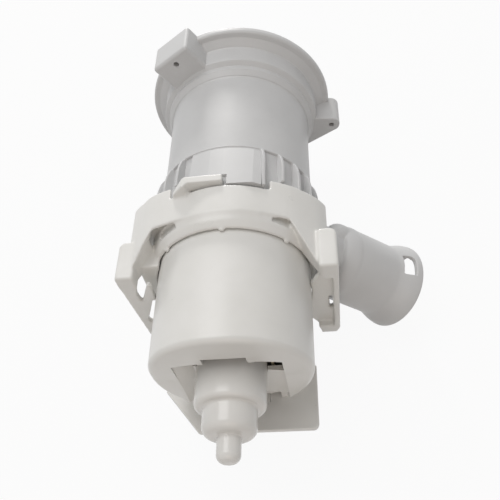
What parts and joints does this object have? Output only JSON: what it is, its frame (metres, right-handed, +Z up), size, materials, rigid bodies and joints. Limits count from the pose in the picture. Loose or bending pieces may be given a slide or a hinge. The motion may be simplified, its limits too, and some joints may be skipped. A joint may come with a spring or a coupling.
{
  "type": "washing machine drain pump",
  "caption": "Drain pump with a flanged inlet tube, a slanted side outlet with a flared bell, and a canned-rotor motor in a round cup, held by a clip-on bracket with side legs.",
  "frame": {"origin": "centre of the inlet mouth, in the plane of the mouth face", "axes": "+Y out of the inlet mouth along the pump axis, +Z up, +X towards the outlet side"},
  "size_m": [0.1233, 0.1858, 0.1],
  "materials": {
    "housing_plastic": "satin",
    "ivory_plastic": "satin",
    "rubber": "matte",
    "bush_metal": "sintered",
    "steel": "ground",
    "ferrite": "matte",
    "washer_plastic": "matte",
    "dog_plastic": "satin",
    "lamination": "matte",
    "former_plastic": "satin",
    "copper_wire": "enamelled",
    "brass": "bright"
  },
  "bodies": {
    "pump_body": {"pump_housing": "housing_plastic", "can_o_ring": "rubber", "rotor_can": "ivory_plastic", "bearing_carrier": "ivory_plastic", "lip_seal": "rubber", "front_bearing": "bush_metal", "rear_bearing": "bush_metal", "bearing_cushion": "rubber", "stator_core": "lamination", "coil_former_left": "former_plastic", "coil_former_right": "former_plastic", "coil_left": "copper_wire", "coil_right": "copper_wire", "motor_cup": "ivory_plastic", "terminal_block": "ivory_plastic", "terminal_blades": "brass", "motor_bracket": "ivory_plastic"},
    "rotor": {"rotor_shaft": "steel", "rotor_magnet": "ferrite", "thrust_washers": "washer_plastic", "drive_dog": "dog_plastic", "dog_buffers": "rubber"},
    "impeller": {"impeller": "dog_plastic", "hub_cap": "dog_plastic"}
  },
  "joints": [
    {"name": "rotor_spin", "type": "hinge", "parent": "pump_body", "child": "rotor", "pos_m": [0, -0.1, 0], "axis": [0, 1, 0], "continuous": true},
    {"name": "impeller_slip", "type": "hinge", "parent": "rotor", "child": "impeller", "pos_m": [0, -0.09, 0], "axis": [0, 1, 0], "range_deg": [-118, 118]}
  ]
}
